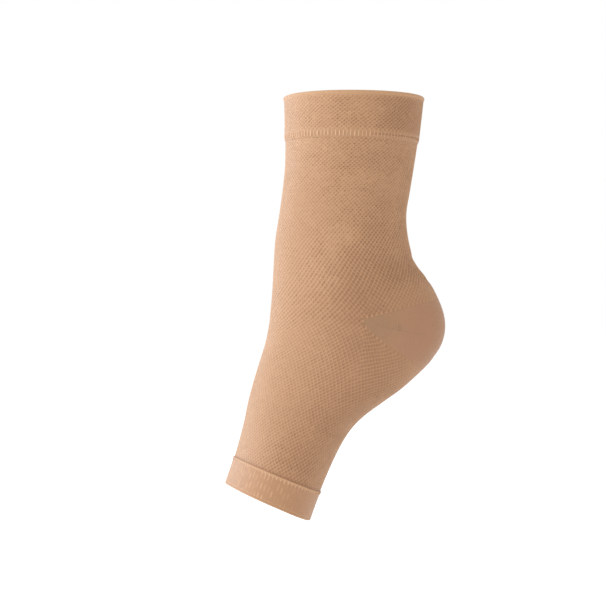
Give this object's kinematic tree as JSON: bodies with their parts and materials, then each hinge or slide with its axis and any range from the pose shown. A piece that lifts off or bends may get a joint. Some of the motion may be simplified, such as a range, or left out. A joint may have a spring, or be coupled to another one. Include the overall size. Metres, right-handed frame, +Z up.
{
  "type": "ankle brace",
  "caption": "Knitted compression ankle brace with a folded top cuff, a mesh knit sleeve open at the toes, a plain knit heel pocket and a ribbed elastic band round the forefoot.",
  "frame": {"origin": "middle of the ankle, where the brace is held up by the ankle that it is worn on", "axes": "+Z up the leg, toes towards -X, heel towards +X, inner side of the right foot towards -Y"},
  "size_m": [0.1318, 0.0828, 0.2533],
  "materials": {
    "welt_knit": "folded double layer of dotted nylon and elastane knit, beige",
    "mesh_knit": "elastic nylon and elastane mesh knit with a fine dotted surface, beige",
    "heel_knit": "smooth plain nylon knit, greyer and darker beige",
    "ribbed_knit": "dense elastic knit with fine ribs along the foot, beige"
  },
  "bodies": {
    "root": {"top_cuff": "welt_knit", "ankle_sleeve": "mesh_knit", "heel_pocket": "heel_knit", "foot_cuff": "ribbed_knit"}
  },
  "joints": []
}
